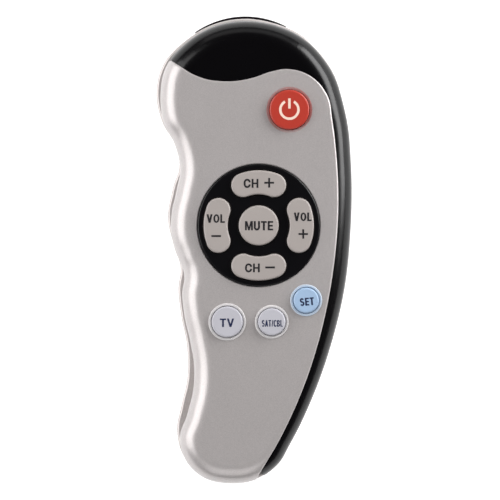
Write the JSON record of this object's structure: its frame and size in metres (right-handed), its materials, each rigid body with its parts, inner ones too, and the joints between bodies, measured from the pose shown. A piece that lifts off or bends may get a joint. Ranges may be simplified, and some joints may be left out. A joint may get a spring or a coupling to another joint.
{
  "type": "universal remote control",
  "caption": "Hand-held remote control with a wavy grip edge, round key dial, small keys, infrared window and sliding battery door.",
  "frame": {"origin": "middle of the housing's outline, on the flat back face it lies on", "axes": "+Z out of the front face, +Y along the body to the infrared nose, +X to the right seen from the front"},
  "size_m": [0.0629, 0.1504, 0.0253],
  "materials": {
    "rear_silver": "satin silver paint",
    "cover_silver": "satin silver paint",
    "frame_black": "semi-gloss",
    "dial_black": "semi-gloss",
    "window_dark": "gloss",
    "board_green": "satin",
    "carbon": "matte",
    "mat_silicone": "matte",
    "chip_black": "matte",
    "resonator_tan": "satin",
    "capacitor_sleeve": "satin",
    "diode_clear": "clear",
    "cell_jacket": "satin",
    "contact_nickel": "satin",
    "screw_steel": "satin",
    "door_silver": "satin silver paint",
    "key_red": "semi-gloss",
    "key_blue": "semi-gloss",
    "key_light": "semi-gloss",
    "key_grey": "semi-gloss"
  },
  "bodies": {
    "housing": {"rear_shell": "rear_silver", "front_cover": "cover_silver", "front_frame": "frame_black", "dial_plate": "dial_black", "infrared_window": "window_dark", "circuit_board": "board_green", "contact_pads": "carbon", "keypad_mat": "mat_silicone", "controller_chip": "chip_black", "resonator": "resonator_tan", "capacitor": "capacitor_sleeve", "transistor": "chip_black", "resistors": "chip_black", "infrared_diode": "diode_clear", "battery_1": "cell_jacket", "battery_2": "cell_jacket", "positive_contact": "contact_nickel", "negative_contact": "contact_nickel", "link_contact": "contact_nickel", "negative_spring": "contact_nickel", "link_spring": "contact_nickel", "case_screws": "screw_steel", "board_screws": "screw_steel"},
    "battery_door": {"battery_cover": "door_silver"},
    "power_button": {"power_key": "key_red", "power_contact_pill": "carbon"},
    "tv_button": {"tv_key": "key_light", "tv_contact_pill": "carbon"},
    "satellite_button": {"satellite_key": "key_light", "satellite_contact_pill": "carbon"},
    "set_button": {"set_key": "key_blue", "set_contact_pill": "carbon"},
    "mute_button": {"mute_key": "key_grey", "mute_contact_pill": "carbon"},
    "channel_up_button": {"channel_up_key": "key_grey", "channel_up_contact_pill": "carbon"},
    "channel_down_button": {"channel_down_key": "key_grey", "channel_down_contact_pill": "carbon"},
    "volume_up_button": {"volume_up_key": "key_grey", "volume_up_contact_pill": "carbon"},
    "volume_down_button": {"volume_down_key": "key_grey", "volume_down_contact_pill": "carbon"}
  },
  "joints": [
    {"name": "power_press", "type": "slide", "parent": "housing", "child": "power_button", "axis": [0, 0, -1], "range_m": [0, 0.0007], "stiffness_N_per_m": 800, "springref_m": -0.001, "deforming": ["keypad_mat"]},
    {"name": "tv_press", "type": "slide", "parent": "housing", "child": "tv_button", "axis": [0, 0, -1], "range_m": [0, 0.0007], "stiffness_N_per_m": 800, "springref_m": -0.001, "deforming": ["keypad_mat"]},
    {"name": "satellite_press", "type": "slide", "parent": "housing", "child": "satellite_button", "axis": [0, 0, -1], "range_m": [0, 0.0007], "stiffness_N_per_m": 800, "springref_m": -0.001, "deforming": ["keypad_mat"]},
    {"name": "set_press", "type": "slide", "parent": "housing", "child": "set_button", "axis": [0, 0, -1], "range_m": [0, 0.0007], "stiffness_N_per_m": 800, "springref_m": -0.001, "deforming": ["keypad_mat"]},
    {"name": "mute_press", "type": "slide", "parent": "housing", "child": "mute_button", "axis": [0, 0, -1], "range_m": [0, 0.0007], "stiffness_N_per_m": 800, "springref_m": -0.001, "deforming": ["keypad_mat"]},
    {"name": "channel_up_press", "type": "slide", "parent": "housing", "child": "channel_up_button", "axis": [0, 0, -1], "range_m": [0, 0.0007], "stiffness_N_per_m": 800, "springref_m": -0.001, "deforming": ["keypad_mat"]},
    {"name": "channel_down_press", "type": "slide", "parent": "housing", "child": "channel_down_button", "axis": [0, 0, -1], "range_m": [0, 0.0007], "stiffness_N_per_m": 800, "springref_m": -0.001, "deforming": ["keypad_mat"]},
    {"name": "volume_up_press", "type": "slide", "parent": "housing", "child": "volume_up_button", "axis": [0, 0, -1], "range_m": [0, 0.0007], "stiffness_N_per_m": 800, "springref_m": -0.001, "deforming": ["keypad_mat"]},
    {"name": "volume_down_press", "type": "slide", "parent": "housing", "child": "volume_down_button", "axis": [0, 0, -1], "range_m": [0, 0.0007], "stiffness_N_per_m": 800, "springref_m": -0.001, "deforming": ["keypad_mat"]},
    {"name": "battery_door_slide", "type": "slide", "parent": "housing", "child": "battery_door", "axis": [0, -1, 0], "range_m": [0, 0.055]}
  ]
}
